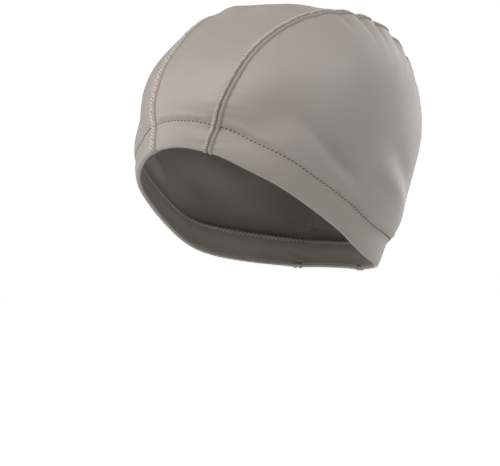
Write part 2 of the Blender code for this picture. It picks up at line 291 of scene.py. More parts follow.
# Finishes, linear colours. The tone's swing lightens and darkens the colour
Cloth = namedtuple("Cloth", "name colour hem_colour roughness pitch bump swing sheen")
COATED = Cloth("Coated cloth", (0.345, 0.302, 0.272, 1.0), (0.335, 0.297, 0.262, 1.0),
               roughness=0.46, pitch=0.45 * MM, bump=0.02 * MM, swing=0.10, sheen=0.12)
KNIT_BACK = Cloth("Knit back", (0.330, 0.292, 0.265, 1.0), (0.330, 0.292, 0.265, 1.0),
                  roughness=0.85, pitch=0.6 * MM, bump=0.10 * MM, swing=0.16, sheen=0.3)

Thread = namedtuple("Thread", "name colour roughness bump swing")
# The band of the seam allowance has shade painted down in its groove
ALLOWANCE = Thread("Seam allowance", (0.330, 0.290, 0.250, 1.0), 0.7, 0.05 * MM, 0.2)
PALE_THREAD = Thread("Seam thread", (0.620, 0.560, 0.480, 1.0), 0.6, 0.05 * MM, 0.3)
DARK_THREAD = Thread("Dark seam thread", (0.300, 0.268, 0.232, 1.0), 0.6, 0.05 * MM, 0.3)
# The hem's thread is dark grey, and its colour is painted darker still to carry the shadow of the
# groove its stitches sink into
HEM_SEWING_AND_SHADE = Thread("Hem thread", (0.060, 0.050, 0.042, 1.0), 0.6, 0.03 * MM, 0.2)

HEM_EDGE = (0.95, 1.05)       # heights, in shares of the stitches', where the hem's colour ends
ROUGHNESS_SWING = 0.25        # of the tone, added to the cloth's roughness
CLOTH_SHEEN_ROUGHNESS = 0.45
CLOTH_SPECULAR = 0.45
THREAD_SHEEN = 0.2

# Knit pattern
COURSE_RATE = 2.6             # courses run this much closer than wales
COURSE_LEAN = 1.6             # bends the courses into loops between the wales
COURSE_SHARE = 0.3            # of the height
CLOUD_SCALE = 42.0            # slow unevenness of the coating
CLOUD_DETAIL = 3.0
GRAIN_SCALE = 900.0
GRAIN_DETAIL = 2.0
GRAIN_SHARE = 0.45

# Thread pattern
TWIST_SCALE = 900.0
TWIST_DISTORTION = 1.5
TWIST_SHARE = 0.5
FUZZ_SCALE = 1500.0

# Camera, from the photograph's frame of 500 x 466 pixels
PHOTO_WIDTH = 500
SENSOR = 36.0
FOCAL_PIXELS = 2660.0
CAMERA_AZIMUTH = 40.0
CAMERA_ELEVATION = 2.0
CAMERA_DISTANCE = 1.55
CAMERA_TARGET = (-0.010, -0.010, -0.132)
CAMERA_CLIP = (0.05, 50.0)

# Floor and backdrop
FLOOR_HEIGHT = -0.36
FLOOR_RADIUS = 3.0
FLOOR_SIDES = 128
SWEEP_RADIUS = 1.2
SWEEP_STEPS = 12
BACKDROP_HEIGHT = 2.0
FLOOR_COLOUR = (0.86, 0.86, 0.86, 1.0)
FLOOR_ROUGHNESS = 0.9
FLOOR_GLOW = 1.00             # keeps the backdrop pale without lighting the cap

# Light: lamps around the camera's target, in degrees, metres and watts, and a faint world
Lamp = namedtuple("Lamp", "name azimuth elevation distance size power")
LAMPS = (
    Lamp("key", -11.0, 50.0, 1.6, 1.2, 21.8),
    Lamp("left side", -66.0, 12.0, 1.6, 1.6, 12.5),
    Lamp("right side", 105.0, 45.0, 1.6, 1.2, 11.6),
    Lamp("rim", 180.0, 10.0, 1.6, 1.6, 14.0),
)
WORLD_COLOUR = (1.0, 1.0, 1.0, 1.0)
WORLD_STRENGTH = 0.02


# Form of the cap


def along_table(table, column, place):
    """Value of a column at a place, on a smooth curve through the table's rows."""
    at = np.array([row[0] for row in table], float)
    value = np.array([getattr(row, column) for row in table], float)
    slope = np.zeros_like(value)
    step = np.diff(value) / np.diff(at)
    slope[1:-1] = (step[:-1] + step[1:]) / 2
    place = np.clip(place, at[0], at[-1])
    low = np.clip(np.searchsorted(at, place, side="right") - 1, 0, len(at) - 2)
    span = at[low + 1] - at[low]
    t = (place - at[low]) / span
    rise = value[low + 1] - value[low]
    bend_in = span * slope[low] - rise
    bend_out = rise - span * slope[low + 1]
    return value[low] + t * rise + t * (1 - t) * (bend_in * (1 - t) + bend_out * t)


def from_angles(azimuth, elevation):
    """Unit directions at signed azimuths and elevations."""
    turn = np.radians(azimuth)
    lift = np.radians(elevation)
    flat = np.cos(lift)
    return np.stack([np.sin(turn) * flat, -np.cos(turn) * flat, np.sin(lift)], axis=-1)


def unit(vector):
    return vector / np.linalg.norm(vector, axis=-1, keepdims=True)


def azimuth_of(direction):
    """Azimuth on the wearer's left, which the right side mirrors."""
    return np.degrees(np.arctan2(np.abs(direction[..., 0]), -direction[..., 1]))


def elevation_of(direction):
    return np.degrees(np.arcsin(np.clip(direction[..., 2], -1, 1)))


def seam_angle_of(direction):
    """Angle about the X axis, from the front over the crown to the nape."""
    angle = np.degrees(np.arctan2(direction[..., 2], -direction[..., 1]))
    return np.where(angle < -90, angle + 360, angle)


def smooth_reach(direction):
    """Distance from the form's centre to the cloth, without gathers and hem."""
    azimuth = azimuth_of(direction)
    elevation = elevation_of(direction)
    level = np.cos(np.radians(elevation))
    height = np.where(direction[..., 2] >= 0, CROWN_HEIGHT, LOWER_DEPTH)

    def of_ellipsoid(size, column):
        share = along_table(SECTIONS, column, elevation)
        return share / np.hypot(level / size, direction[..., 2] / height)

    front = of_ellipsoid(FRONT_REACH, "front")
    side = of_ellipsoid(HALF_WIDTH, "side")
    back = of_ellipsoid(BACK_REACH, "back")
    ahead = np.cos(np.radians(azimuth))
    lengthwise = np.where(ahead > 0, front, back)
    reach = 1 / np.hypot(ahead / lengthwise, np.sin(np.radians(azimuth)) / side)
    reach = reach - BACK_REACH * along_table(SECTIONS, "lean", elevation) * ahead
    for dent in DENTS + CREASES:
        turn = math.radians(dent.turn)
        right = (azimuth - dent.azimuth) * level
        up = elevation - dent.elevation
        along = (right * math.cos(turn) + up * math.sin(turn)) / dent.along
        across = (up * math.cos(turn) - right * math.sin(turn)) / dent.across
        reach = reach + HALF_WIDTH * dent.height * np.exp(-(along**2 + across**2))
    return reach


def find_rim():
    """Elevation of the rim at every degree of azimuth, halving the range that holds it."""
    azimuth = np.arange(0.0, 181.0)
    low = np.full(azimuth.shape, RIM_ELEVATIONS[0])
    high = np.full(azimuth.shape, RIM_ELEVATIONS[1])
    for _ in range(HALVINGS):
        middle = (low + high) / 2
        direction = from_angles(azimuth, middle)
        point = direction * smooth_reach(direction)[..., None]
        place = point[..., 1] / np.where(point[..., 1] < 0, FRONT_REACH, BACK_REACH)
        drop = RIM_DROP * along_table(RIM, "drop", place) - CROWN_HEIGHT
        above = point[..., 2] > -drop
        high = np.where(above, middle, high)
        low = np.where(above, low, middle)
    return azimuth, (low + high) / 2


RIM_AZIMUTH, RIM_ELEVATION = find_rim()
RIM_SLANT = np.cos(np.arctan(np.gradient(RIM_ELEVATION, RIM_AZIMUTH)))


def rim_length_table():
    """Length of the rim from the front to every degree of azimuth."""
    direction = from_angles(RIM_AZIMUTH, RIM_ELEVATION)
    point = direction * smooth_reach(direction)[:, None]
    steps = np.linalg.norm(np.diff(point, axis=0), axis=1)
    return np.concatenate([[0.0], np.cumsum(steps)])


RIM_LENGTH = rim_length_table()


def rim_direction(azimuth, height=0.0):
    """Direction of the rim, or of a line at a height above it, at signed azimuths."""
    elevation = np.interp(np.abs(azimuth), RIM_AZIMUTH, RIM_ELEVATION)
    foot = from_angles(azimuth, elevation)
    slant = np.interp(np.abs(azimuth), RIM_AZIMUTH, RIM_SLANT)
    lift = np.degrees(height / (smooth_reach(foot) * slant))
    return from_angles(azimuth, elevation + lift)


def above_rim(direction, reach):
    """Distance over the cloth from the rim, square to it."""
    azimuth = azimuth_of(direction)
    lift = elevation_of(direction) - np.interp(azimuth, RIM_AZIMUTH, RIM_ELEVATION)
    return np.radians(lift) * reach * np.interp(azimuth, RIM_AZIMUTH, RIM_SLANT)


def notches(angle):
    """Depth of the gathers: a sudden drop at each, and an easy rise to the next plateau."""
    total = 0.0
    for gather in GATHERS:
        past = angle - gather.angle
        width = np.where(past < 0, GATHER_STEEP, GATHER_EASY)
        share = np.interp(gather.angle, GATHER_ONSET, (GATHER_FAINT, 1.0))
        total = total + share * gather.depth * np.exp(-(past / width)**2)
    return total


def ripples(angle, off):
    """Small uneven gathers, fading away from the seam."""
    wave = 0.0
    for ripple in RIPPLES:
        drift = ripple.drift * np.sin(RIPPLE_DRIFT * angle)
        wave = wave + ripple.share * np.sin(ripple.rate * angle + ripple.start + drift)
    return RIPPLE_HEIGHT * wave * np.exp(-np.abs(off) / RIPPLE_SPREAD)


def stitch_height(azimuth):
    """Height above the rim of the hem's stitches, the same on both sides."""
    return along_table(HEM_LINE, "height", np.abs(azimuth))


def hem_share_of(direction):
    """Height above the rim as a share of the height of the hem's stitches."""
    return above_rim(direction, smooth_reach(direction)) / stitch_height(azimuth_of(direction))


def swelling(swell, length):
    return swell.mean + swell.swing * np.sin(length / swell.length + swell.start)


def hem_relief(direction, up, off):
    """Groove of the hem's stitches, the soft roll above it and the puckers between stitches."""
    azimuth = azimuth_of(direction)
    length = np.interp(azimuth, RIM_AZIMUTH, RIM_LENGTH)
    over = up - stitch_height(azimuth)
    groove = GROOVE_DEPTH * np.exp(-(over / GROOVE_SPREAD)**2)
    roll = ROLL_HEIGHT * swelling(ROLL_SWELL, length)
    roll = roll * np.exp(-((over - ROLL_OFFSET) / ROLL_SPREAD)**2)
    pucker = PUCKER_HEIGHT * swelling(PUCKER_SWELL, length)
    pucker = pucker * np.cos(2 * np.pi * length / HEM_PITCH)
    pucker = pucker * np.exp(-((over - PUCKER_OFFSET) / PUCKER_SPREAD)**2)
    return (roll + pucker - groove) * (1 - np.exp(-(off / BRIDGE_SPREAD)**4))


def cap_reach(direction):
    """Distance from the form's centre to the outside of the cloth, with all its relief."""
    reach = smooth_reach(direction)
    angle = seam_angle_of(direction)
    half_width = STRIP_HALF_WIDTH * along_table(SEAM, "half_width", angle)
    off = np.abs(direction[..., 0]) * reach - half_width
    ridge = RIDGE_HEIGHT * along_table(SEAM, "ridge", angle) * np.exp(-(off / RIDGE_SPREAD)**2)
    notch = GATHER_DEPTH * notches(angle) * np.exp(-(off / GATHER_SPREAD)**2)
    up = above_rim(direction, reach)
    waist = WAIST_DEPTH * np.exp(-((up - HEM_DEPTH * WAIST_LINE) / WAIST_SPREAD)**2)
    puff = PUFF_HEIGHT * np.exp(-((up - HEM_DEPTH * PUFF_LINE) / PUFF_SPREAD)**2)
    fine = ripples(angle, off) + hem_relief(direction, up, off)
    return reach + ridge - notch - waist + puff + fine


def cap_point(direction):
    """Point on the outside of the cloth, measured from the origin inside the crown."""
    direction = unit(direction)
    centre = np.array([0.0, 0.0, CLOTH - CROWN_HEIGHT])
    return centre + direction * cap_reach(direction)[..., None]


def cap_normal(direction):
    """Outward normal of the cloth, from the slopes across a small step."""
    upright = np.array([0.0, 0.0, 1.0])
    sideways = np.array([1.0, 0.0, 0.0])
    guide = np.where(np.abs(direction[..., 2:3]) > NEAR_UPRIGHT, sideways, upright)
    first = unit(np.cross(guide, direction)) * NORMAL_STEP
    second = np.cross(direction, first)
    slope_one = cap_point(direction + first) - cap_point(direction - first)
    slope_two = cap_point(direction + second) - cap_point(direction - second)
    return unit(np.cross(slope_one, slope_two))


def strip_direction(angle, share, offset=0.0):
    """Direction at a seam angle, a share of the way from the middle to the left seam."""
    angle = np.asarray(angle, float)
    middle = np.stack([0 * angle, -np.cos(np.radians(angle)), np.sin(np.radians(angle))], axis=-1)
    sideways = np.array([1.0, 0.0, 0.0])
    across = share * STRIP_HALF_WIDTH * along_table(SEAM, "half_width", angle)
    reach = cap_reach(middle)
    for _ in range(LEAN_STEPS):
        lean = np.arcsin(np.clip(across / reach, -1, 1))
        direction = middle * np.cos(lean)[..., None] + sideways * np.sin(lean)[..., None]
        reach = cap_reach(direction)
    lean = lean + offset / reach
    return middle * np.cos(lean)[..., None] + sideways * np.sin(lean)[..., None]


def meets_rim(share, offset, back, height):
    """Seam angle where lines at these shares and offsets come to a height above the rim."""
    first, last = NAPE_SEAM_ANGLES if back else FRONT_SEAM_ANGLES
    low = np.full(share.shape, first)
    high = np.full(share.shape, last)
    for _ in range(HALVINGS):
        angle = (low + high) / 2
        direction = strip_direction(angle, share, offset)
        above = above_rim(direction, cap_reach(direction)) > height
        low = np.where(above == back, angle, low)
        high = np.where(above == back, high, angle)
    return angle


def strip_lines(share, offset, rows):
    """Directions of lines that run along the strip to the fold at both ends."""
    start = meets_rim(share, offset, False, TURN_RADIUS)
    end = meets_rim(share, offset, True, TURN_RADIUS)
    angle = start + rows[:, None] * (end - start)
    return strip_direction(angle, share, offset)


def fold_under(direction, raised=0.0):
    """Rows that turn round the rim to the inside, from an edge just above it."""
    point = cap_point(direction)
    normal = cap_normal(direction)
    azimuth = np.degrees(np.arctan2(direction[..., 0], -direction[..., 1]))
    ahead = cap_point(rim_direction(azimuth + 1, TURN_RADIUS))
    behind = cap_point(rim_direction(azimuth - 1, TURN_RADIUS))
    down = unit(np.cross(normal, ahead - behind))
    down = down * np.where(down[..., 2:3] > 0, -1.0, 1.0)
    rows = []
    for step in range(1, TURN_STEPS + 1):
        turn = math.pi * step / TURN_STEPS
        arm = normal * math.cos(turn) + down * math.sin(turn)
        rows.append(point - TURN_RADIUS * normal + (TURN_RADIUS + raised) * arm)
    return np.stack(rows)


# Meshes


def deselect_all():
    for thing in bpy.context.selected_objects:
        thing.select_set(False)


def finish_piece(piece, *finishes):
    piece.data.materials.clear()
    for finish in finishes:
        piece.data.materials.append(finish)
    piece.data.shade_smooth()
    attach(piece, "root")


def cloth_grid(name, points):
    """Object from a grid that is added flat and then draped over the points."""
    rows, columns = points.shape[:2]
    deselect_all()
    bpy.ops.mesh.primitive_grid_add(x_subdivisions=columns - 1, y_subdivisions=rows - 1, size=1.0)
    piece = bpy.context.object
    piece.name = name
    mesh = piece.data
    mesh.name = name
    mesh.vertices.foreach_set("co", points.reshape(-1).astype(np.float32))
    across = np.linalg.norm(np.diff(points, axis=1), axis=2)
    along = np.linalg.norm(np.diff(points, axis=0), axis=2)
    u = np.concatenate([np.zeros((rows, 1)), np.cumsum(across, axis=1)], axis=1)
    v = np.concatenate([np.zeros((1, columns)), np.cumsum(along, axis=0)], axis=0)
    corner = np.empty(len(mesh.loops), np.int32)
    mesh.loops.foreach_get("vertex_index", corner)
    place = np.stack([u.reshape(-1), v.reshape(-1)], axis=1)[corner]
    mesh.uv_layers.active.data.foreach_set("uv", place.reshape(-1).astype(np.float32))
    mesh.update()
    return piece


def set_attribute(piece, name, values):
    layer = piece.data.attributes.new(name, "FLOAT", "POINT")
    layer.data.foreach_set("value", values.reshape(-1).astype(np.float32))


def face_outward(piece, sign):
    """Turns the faces so that most look away from the form's centre, or to it for a sign of -1."""
    centre = Vector((0.0, 0.0, CLOTH - CROWN_HEIGHT))
    side = sum((face.center - centre).dot(face.normal) * face.area for face in piece.data.polygons)
    if side * sign < 0:
        piece.data.flip_normals()


def merge_close():
    """Merges doubled points of the active object."""
    bpy.ops.object.mode_set(mode="EDIT")
    bpy.ops.mesh.select_all(action="SELECT")
    bpy.ops.mesh.remove_doubles(threshold=MERGE_DISTANCE)
    bpy.ops.object.mode_set(mode="OBJECT")


def thicken(piece):
    """Gives the cloth its thickness inwards, with the second finish on the inside and edges."""
    wall = piece.modifiers.new("Ply", "SOLIDIFY")
    wall.thickness = PLY
    wall.offset = -1.0
    wall.material_offset = 1
    wall.material_offset_rim = 1
    bpy.ops.object.modifier_apply(modifier=wall.name)


def mirrored(points):
    """The same grid on the wearer's right, its rows turned round to keep its faces outward."""
    return points[:, ::-1] * np.array([-1.0, 1.0, 1.0])


def cloth_panel(name, points, up, replaces, outside, inside, sign=1.0):
    """Sheet of cloth over the points; its sign is -1 where its face looks inwards."""
    piece = cloth_grid(name, points)
    set_attribute(piece, "hem_share", up)
    merge_close()
    face_outward(piece, sign)
    finish_piece(piece, outside, inside)
    thicken(piece)
    piece.data.shade_smooth()
    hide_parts(replaces)
    return piece


def make_centre(outside, inside):
    share = np.linspace(-1.0, 1.0, CENTRE_COLUMNS + 1)
    offset = np.zeros(share.shape)
    offset[0] = BUTT_GAP / 2
    offset[-1] = -BUTT_GAP / 2
    rows = np.linspace(0.0, 1.0, SEAM_ROWS + 1)
    direction = strip_lines(share, offset, rows)
    front = fold_under(direction[0])[::-1]
    nape = fold_under(direction[-1])
    points = np.concatenate([front, cap_point(direction), nape])
    flat = np.zeros((TURN_STEPS, len(share)))
    up = np.concatenate([flat, hem_share_of(direction), flat])
    return cloth_panel("centre_cloth", points, up, "centre_panel", outside, inside)


def side_columns():
    """Shares of the way from the seam to the rim, closer together near both."""
    seam = np.linspace(0.0, FINE_SEAM_SHARE, FINE_SEAM_COLUMNS, endpoint=False)
    middle = np.linspace(FINE_SEAM_SHARE, 1 - FINE_HEM_SHARE, MIDDLE_COLUMNS, endpoint=False)
    hem = np.linspace(1 - FINE_HEM_SHARE, 1.0, FINE_HEM_COLUMNS + 1)
    return np.concatenate([seam, middle, hem])


def make_sides(outside, inside):
    """Lines fan from the seam to the rim, and turn under there."""
    one = np.ones(1)
    offset = np.full(1, BUTT_GAP / 2)
    rows = np.linspace(0.0, 1.0, SEAM_ROWS + 1)
    seam = strip_lines(one, offset, rows)[:, 0]
    first, last = azimuth_of(seam[0]), azimuth_of(seam[-1])
    rim = rim_direction(first + rows * (last - first), TURN_RADIUS)
    share = side_columns()[None, :, None]
    direction = unit((1 - share) * seam[:, None] + share * rim[:, None])
    turned = np.swapaxes(fold_under(rim), 0, 1)
    points = np.concatenate([cap_point(direction), turned], axis=1)
    up = np.concatenate([hem_share_of(direction), np.zeros(turned.shape[:2])], axis=1)
    left = cloth_panel("side_cloth_left", points, up, "side_panel_left", outside, inside)
    right = cloth_panel("side_cloth_right", mirrored(points), up[:, ::-1], "side_panel_right",
                        outside, inside)
    return left, right


def make_hem_ply(outside, inside):
    """Turned-up edge: a ring inside the panels, from the fold to just above the stitches."""
    azimuth = np.linspace(-180.0, 180.0, RING_SIDES + 1)
    top = stitch_height(azimuth) + HEM_OVERLAP
    rows = []
    for share in np.linspace(0.0, 1.0, RING_ROWS):
        direction = rim_direction(azimuth, TURN_RADIUS + share * (top - TURN_RADIUS))
        rows.append(cap_point(direction) - 2 * TURN_RADIUS * cap_normal(direction))
    up = np.zeros((RING_ROWS, RING_SIDES + 1))
    return cloth_panel("hem_ply", np.stack(rows), up, "hem_turning", outside, inside, -1.0)


# Seams


def seam_line(rows, offset):
    """Directions along the left seam, one column for each offset."""
    return strip_lines(np.ones(offset.shape), offset, rows)


def make_bands(material):
    """Folded allowance under both seams' stitches: two ridges with a groove between them, and
    shade painted down in the groove.
    """
    across = np.array([point.across for point in BAND]) * SEAM_WIDTH / 2
    height = np.array([point.height for point in BAND]) * MM
    # Mask of the shade painted into the groove between the two ridges
    groove = np.exp(-(across / (GROOVE_PAINTED_SHADE_SHARE * SEAM_WIDTH / 2))**2)
    rows = np.linspace(0.0, 1.0, SEAM_ROWS + 1)
    direction = seam_line(rows, across)
    point = cap_point(direction)
    normal = cap_normal(direction)
    top = point + normal * height[:, None]
    floor = point + normal * BAND_FLOOR
    front_top = fold_under(direction[0], height[:, None])[::-1]
    nape_top = fold_under(direction[-1], height[:, None])
    front_floor = fold_under(direction[0], BAND_FLOOR)[::-1]
    nape_floor = fold_under(direction[-1], BAND_FLOOR)
    top = np.concatenate([front_top, top, nape_top])
    floor = np.concatenate([front_floor, floor, nape_floor])
    ring = np.concatenate([top, floor[:, ::-1], top[:, :1]], axis=1)
    shade = np.concatenate([groove, np.zeros(len(BAND)), groove[:1]])
    for name, node, points in (("seam_band_left", "seam_left", ring),
                               ("seam_band_right", "seam_right", mirrored(ring))):
        piece = cloth_grid(name, points)
        # The groove attribute carries the mask of painted shade to the band's finish
        set_attribute(piece, "groove", np.tile(shade, (len(points), 1)))
        merge_close()
        bpy.ops.object.mode_set(mode="EDIT")
        bpy.ops.mesh.select_all(action="DESELECT")
        bpy.ops.mesh.select_mode(type="EDGE")
        bpy.ops.mesh.select_non_manifold()
        bpy.ops.mesh.fill()
        bpy.ops.mesh.select_all(action="SELECT")
        bpy.ops.mesh.normals_make_consistent(inside=False)
        bpy.ops.object.mode_set(mode="OBJECT")
        finish_piece(piece, material)
        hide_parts(node)
        yield piece


def model_stitch(radius, length):
    """One stitch along X: a round thread with drawn-in ends that dip into the cloth."""
    deselect_all()
    body = length * STITCH_BODY
    bpy.ops.mesh.primitive_cylinder_add(vertices=STITCH_SIDES, radius=radius, depth=body,
                                        rotation=(0.0, math.radians(90), 0.0))
    stitch = bpy.context.object
    bpy.ops.object.transform_apply(location=True, rotation=True, scale=True)
    for sign in (-1, 1):
        bpy.ops.object.mode_set(mode="EDIT")
        bpy.ops.mesh.select_all(action="DESELECT")
        bpy.ops.object.mode_set(mode="OBJECT")
        for face in stitch.data.polygons:
            face.select = face.normal.x * sign > END_FACING
        bpy.ops.object.mode_set(mode="EDIT")
        reach = sign * (length - body) / 2
        dip = -radius * STITCH_DIP
        bpy.ops.mesh.extrude_region_move(TRANSFORM_OT_translate={"value": (reach, 0.0, dip)})
        bpy.ops.transform.resize(value=(STITCH_TIP, STITCH_TIP, STITCH_TIP))
        bpy.ops.object.mode_set(mode="OBJECT")
    return stitch


def copy_along(name, sewn, *materials):
    """One mesh from copies of stitches; each row gives its stitch, its places and its finish."""
    target = bpy.data.objects.new(name, bpy.data.meshes.new(name))
    bpy.context.collection.objects.link(target)
    for material in materials:
        target.data.materials.append(material)
    deselect_all()
    for stitch, places, finish in sewn:
        stitch.data.materials.clear()
        for material in materials:
            stitch.data.materials.append(material)
        stitch.data.polygons.foreach_set("material_index", [finish] * len(stitch.data.polygons))
        for place in places:
            copy = bpy.data.objects.new(name + "_copy", stitch.data.copy())
            bpy.context.collection.objects.link(copy)
            copy.matrix_world = place
            copy.select_set(True)
        bpy.data.objects.remove(stitch)
    target.select_set(True)
    bpy.context.view_layer.objects.active = target
    bpy.ops.object.join()
    target.data.shade_smooth()
    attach(target, "root")
    return target


def frames(point, along, normal, slant):
    """Placing matrices: X along the thread, Z out of the cloth, turned by a slant."""
    across = unit(np.cross(normal, along))
    along = unit(np.cross(across, normal))
    turn = np.radians(slant)
    x_axis = along * math.cos(turn) + across * math.sin(turn)
    y_axis = np.cross(normal, x_axis)
    found = []
    for x, y, z, at in zip(x_axis, y_axis, normal, point):
        rows = [(x[i], y[i], z[i], at[i]) for i in range(3)]
        found.append(Matrix(rows + [(0.0, 0.0, 0.0, 1.0)]))
    return found


def evenly(points, pitch):
    """Places at a steady pitch along a line, as fractional row numbers."""
    steps = np.linalg.norm(np.diff(points, axis=0), axis=1)
    length = np.concatenate([[0.0], np.cumsum(steps)])
    count = int(length[-1] / pitch)
    return np.interp((np.arange(count) + 0.5) * pitch, length, np.arange(len(points)))


def at_rows(values, rows):
    """Values of a line of vectors at fractional row numbers."""
    low = np.clip(rows.astype(int), 0, len(values) - 2)
    part = (rows - low)[:, None]
    return values[low] * (1 - part) + values[low + 1] * part


def sewn_places(base, normal, pitch):
    """Even places along a line, with the way along it and the way out of the cloth at each."""
    place = evenly(base, pitch)
    along = at_rows(np.gradient(base, axis=0), place)
    return at_rows(base, place), along, unit(at_rows(normal, place))


def sewn_row(row, mirror):
    """One row of stitches along a seam, which a mirror vector puts on the right or the left."""
    rows = np.linspace(0.0, 1.0, SEAM_LINE_STEPS + 1)
    line = seam_line(rows, np.array([row.across * SEAM_WIDTH / 2]))[:, 0]
    point, along, out = sewn_places(cap_point(line), cap_normal(line), row.pitch)
    point = point + out * THREAD_LIFT
    slant = 90 + row.slant * mirror[0]
    stitch = model_stitch(row.radius, row.span)
    return stitch, frames(point * mirror, along * mirror, out * mirror, slant), row.thread


def make_seam_threads(light, dark):
    sides = (("seam_threads_left", LEFT_THREADS, np.array([1.0, 1.0, 1.0])),
             ("seam_threads_right", RIGHT_THREADS, np.array([-1.0, 1.0, 1.0])))
    return [copy_along(name, [sewn_row(row, mirror) for row in rows], light, dark)
            for name, rows, mirror in sides]


def hem_line():
    """Directions all round the cap at the height of the hem's stitches."""
    azimuth = np.linspace(-180.0, 180.0, HEM_LINE_STEPS + 1)
    return rim_direction(azimuth, stitch_height(azimuth))


def make_hem_stitches(material):
    direction = hem_line()
    point, along, out = sewn_places(cap_point(direction), cap_normal(direction), HEM_PITCH)
    places = frames(point + out * HEM_LIFT, along, out, HEM_SLANT)
    stitch = model_stitch(HEM_THREAD, HEM_STITCH)
    return copy_along("hem_stitches", [(stitch, places, 0)], material)


def make_cover_stitches(material):
    """Row of threads inside the cap, over the raw edge of the turned ply."""
    direction = hem_line()
    normal = cap_normal(direction)
    base = cap_point(direction) - (2 * TURN_RADIUS + COVER_LIFT) * normal
    point, along, out = sewn_places(base, normal, COVER_PITCH)
    places = []
    for first, slant in enumerate(COVER_SLANTS):
        places += frames(point[first::2], along[first::2], -out[first::2], slant)
    stitch = model_stitch(COVER_THREAD, COVER_STITCH)
    return copy_along("hem_cover_stitches", [(stitch, places, 0)], material)


# Finishes


def add_node(tree, kind, x, y, **settings):
    node = tree.nodes.new(kind)
    node.location = (x, y)
    for name, value in settings.items():
        setattr(node, name, value)
    return node


def math_node(tree, operation, x, y, first, second=None, third=None):
    """Result of a sum whose values are sockets or numbers."""
    node = add_node(tree, "ShaderNodeMath", x, y, operation=operation)
    for socket, value in zip(node.inputs, (first, second, third)):
        if value is None:
            continue
        if isinstance(value, bpy.types.NodeSocket):
            tree.links.new(value, socket)
        else:
            socket.default_value = value
    return node.outputs[0]


def new_group(name, **inputs):
    """Node group with the given inputs that puts out a height and a tone around zero."""
    group = bpy.data.node_groups.new(name, "ShaderNodeTree")
    for title, kind in inputs.items():
        group.interface.new_socket(title, in_out="INPUT", socket_type="NodeSocket" + kind)
    for title in ("Height", "Tone"):
        group.interface.new_socket(title, in_out="OUTPUT", socket_type="NodeSocketFloat")
    return group


def knit_group():
    """Fine knit: wales and courses at a pitch make the height, an uneven coating the tone."""
    group = new_group("Fine knit", Place="Vector", Body="Vector", Pitch="Float")
    into = add_node(group, "NodeGroupInput", -900, 0)
    out = add_node(group, "NodeGroupOutput", 700, 0)
    parts = add_node(group, "ShaderNodeSeparateXYZ", -700, 100)
    group.links.new(into.outputs["Place"], parts.inputs[0])
    wale = math_node(group, "DIVIDE", -500, 200, parts.outputs[0], into.outputs["Pitch"])
    wale = math_node(group, "MULTIPLY", -350, 200, wale, math.pi)
    wale_wave = math_node(group, "SINE", -200, 200, wale)
    wale_wave = math_node(group, "ABSOLUTE", -50, 200, wale_wave)
    course = math_node(group, "DIVIDE", -500, 0, parts.outputs[1], into.outputs["Pitch"])
    course = math_node(group, "MULTIPLY", -350, 0, course, COURSE_RATE * math.pi)
    lean = math_node(group, "MULTIPLY", -200, 60, wale_wave, COURSE_LEAN)
    course = math_node(group, "ADD", -100, 0, course, lean)
    course_wave = math_node(group, "SINE", 50, 0, course)
    height = math_node(group, "MULTIPLY_ADD", 250, 100, course_wave, COURSE_SHARE, wale_wave)
    group.links.new(height, out.inputs["Height"])
    cloudy = add_node(group, "ShaderNodeTexNoise", -300, -200)
    cloudy.inputs["Scale"].default_value = CLOUD_SCALE
    cloudy.inputs["Detail"].default_value = CLOUD_DETAIL
    group.links.new(into.outputs["Body"], cloudy.inputs["Vector"])
    grainy = add_node(group, "ShaderNodeTexNoise", -300, -420)
    grainy.inputs["Scale"].default_value = GRAIN_SCALE
    grainy.inputs["Detail"].default_value = GRAIN_DETAIL
    group.links.new(into.outputs["Body"], grainy.inputs["Vector"])
    tone = math_node(group, "MULTIPLY_ADD", 0, -250, grainy.outputs["Fac"], GRAIN_SHARE,
                     cloudy.outputs["Fac"])
    tone = math_node(group, "SUBTRACT", 200, -250, tone, 0.5 * (1 + GRAIN_SHARE))
    group.links.new(tone, out.inputs["Tone"])
    return group


def thread_group():
    """Twist of a thread on Object coordinates, as a height and a tone."""
    group = new_group("Thread twist", Body="Vector")
    into = add_node(group, "NodeGroupInput", -600, 0)
    out = add_node(group, "NodeGroupOutput", 400, 0)
    strands = add_node(group, "ShaderNodeTexWave", -350, 100, bands_direction="DIAGONAL")
    strands.inputs["Scale"].default_value = TWIST_SCALE
    strands.inputs["Distortion"].default_value = TWIST_DISTORTION
    fuzz = add_node(group, "ShaderNodeTexNoise", -350, -150)
    fuzz.inputs["Scale"].default_value = FUZZ_SCALE
    group.links.new(into.outputs["Body"], strands.inputs["Vector"])
    group.links.new(into.outputs["Body"], fuzz.inputs["Vector"])
    group.links.new(strands.outputs["Fac"], out.inputs["Height"])
    tone = math_node(group, "MULTIPLY_ADD", 0, 0, strands.outputs["Fac"], TWIST_SHARE,
                     fuzz.outputs["Fac"])
    tone = math_node(group, "SUBTRACT", 200, 0, tone, 0.5 * (1 + TWIST_SHARE))
    group.links.new(tone, out.inputs["Tone"])
    return group


def tinted(tree, colour, tone, strength, x, y):
    """The colour made lighter and darker by a tone that swings around zero."""
    gain = math_node(tree, "MULTIPLY_ADD", x - 200, y - 150, tone, strength, 1.0)
    scaled = add_node(tree, "ShaderNodeVectorMath", x, y, operation="SCALE")
    tree.links.new(colour, scaled.inputs[0])
    tree.links.new(gain, scaled.inputs["Scale"])
    return scaled.outputs[0]


def new_finish(name, pattern, *uses):
    """Material with the pattern's group in it; each use is a coordinate and a group input."""
    material = bpy.data.materials.new(name)
    material.use_nodes = True
    tree = material.node_tree
    coordinates = add_node(tree, "ShaderNodeTexCoord", -1100, 0)
    effect = add_node(tree, "ShaderNodeGroup", -850, 0, node_tree=pattern)
    for coordinate, title in uses:
        tree.links.new(coordinates.outputs[coordinate], effect.inputs[title])
    return material, tree, tree.nodes["Principled BSDF"], effect


